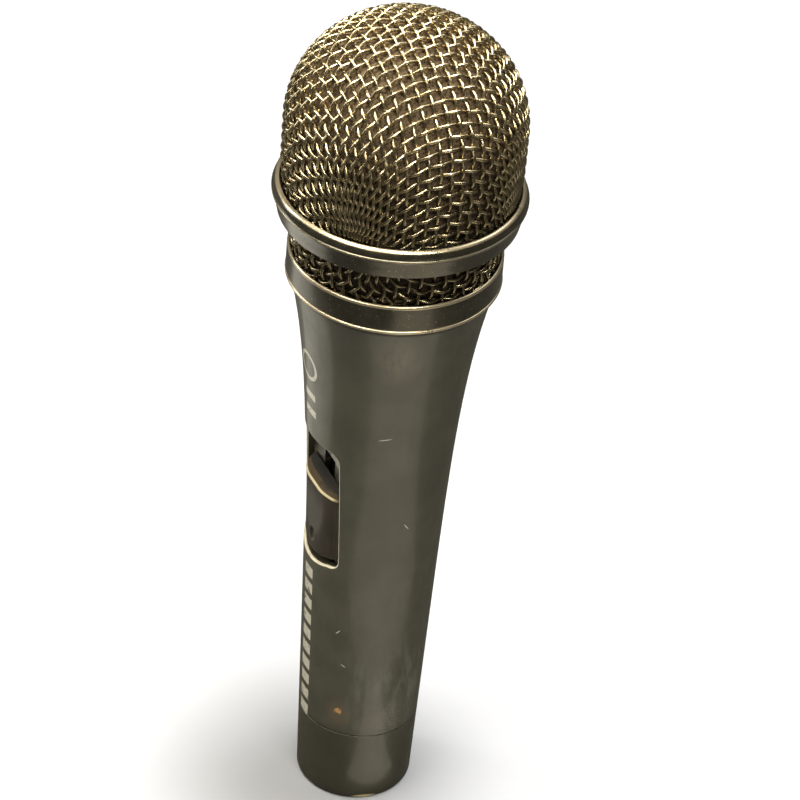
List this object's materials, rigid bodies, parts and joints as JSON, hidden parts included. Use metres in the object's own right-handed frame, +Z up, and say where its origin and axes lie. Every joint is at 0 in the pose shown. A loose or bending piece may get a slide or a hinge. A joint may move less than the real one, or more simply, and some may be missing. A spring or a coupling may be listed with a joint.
{
  "type": "dynamic microphone",
  "caption": "Handheld dynamic vocal microphone: flared tapering handle with a slide switch, three-pole tail inlet and a screw-on domed wire grille over a moving-coil capsule.",
  "frame": {"origin": "centre of the tail rim, at the bottom of the bounding box, where the microphone stands on its tail", "axes": "+Z up along the body to the top of the grille; the slide switch faces -Y; +X to the right when the switch is seen from the front"},
  "size_m": [0.0484, 0.0484, 0.18],
  "materials": {
    "satin_paint": "satin, dark olive-grey, worn toward the tail",
    "ring_metal": "glossy near-black with an olive cast",
    "mesh_wire": "woven wire, dark bronze-olive, bright on the crowns of the wires",
    "foam": "open-cell foam, grey-brown",
    "slider_plastic": "satin, brown-black",
    "black_plastic": "matte black",
    "rubber": "matte black",
    "steel": "bright zinc-plated",
    "nickel": "nickel-plated, satin",
    "brass": "plain",
    "board": "green solder mask",
    "felt": "grey felt",
    "film": "milky translucent film",
    "copper": "enamelled copper winding",
    "magnet_alloy": "ground",
    "red_sleeve": "red wire sleeve",
    "white_sleeve": "white wire sleeve",
    "green_sleeve": "green wire sleeve"
  },
  "bodies": {
    "handle": {"handle_shell": "satin_paint", "tail_collar": "satin_paint", "collar_set_screw": "steel", "connector_barrel": "nickel", "connector_insert": "black_plastic", "contact_pin_1": "nickel", "contact_pin_2": "nickel", "contact_pin_3": "nickel", "ground_ring": "brass", "switch_bed": "black_plastic", "bed_screw_lower": "steel", "bed_screw_upper": "steel", "switch_can": "steel", "switch_base": "black_plastic", "detent_leaf": "brass", "circuit_board": "board", "capsule_lead_hot": "red_sleeve", "capsule_lead_cold": "white_sleeve", "tail_lead_hot": "red_sleeve", "tail_lead_cold": "white_sleeve", "ground_lead": "green_sleeve", "neck_gasket": "rubber", "capsule_carrier": "black_plastic", "shock_mount": "rubber", "capsule_housing": "black_plastic", "capsule_front": "black_plastic", "front_felt": "felt", "capsule_basket": "black_plastic", "pole_piece": "steel", "magnet": "magnet_alloy", "magnet_cup": "steel", "rear_felt": "felt", "hum_coil": "copper", "rear_cap": "black_plastic", "terminal_hot": "nickel", "terminal_cold": "nickel"},
    "switch": {"switch_slider": "slider_plastic", "switch_lever": "black_plastic"},
    "diaphragm": {"diaphragm": "film", "voice_coil": "copper"},
    "windscreen": {"dome_foam": "foam", "lower_foam": "foam"},
    "grille": {"base_ring": "ring_metal", "lower_mesh": "mesh_wire", "crown_ring": "ring_metal", "mesh_clamp_ring": "steel", "dome_mesh": "mesh_wire"}
  },
  "joints": [
    {"name": "switch_slide", "type": "slide", "parent": "handle", "child": "switch", "axis": [0, 0, 1], "range_m": [0, 0.007]},
    {"name": "grille_lift", "type": "slide", "parent": "handle", "child": "windscreen", "axis": [0, 0, 1], "range_m": [0, 0.005]},
    {"name": "grille_turn", "type": "hinge", "parent": "windscreen", "child": "grille", "pos_m": [0, 0, 0.12425], "axis": [0, 0, 1], "range_deg": [0, 1440]},
    {"name": "diaphragm_travel", "type": "slide", "parent": "handle", "child": "diaphragm", "axis": [0, 0, 1], "range_m": [-0.0003, 0.0003], "stiffness_N_per_m": 60}
  ],
  "couplings": [
    {"joint": "grille_turn", "follows": "grille_lift", "rad_per_m": 5026.5}
  ]
}
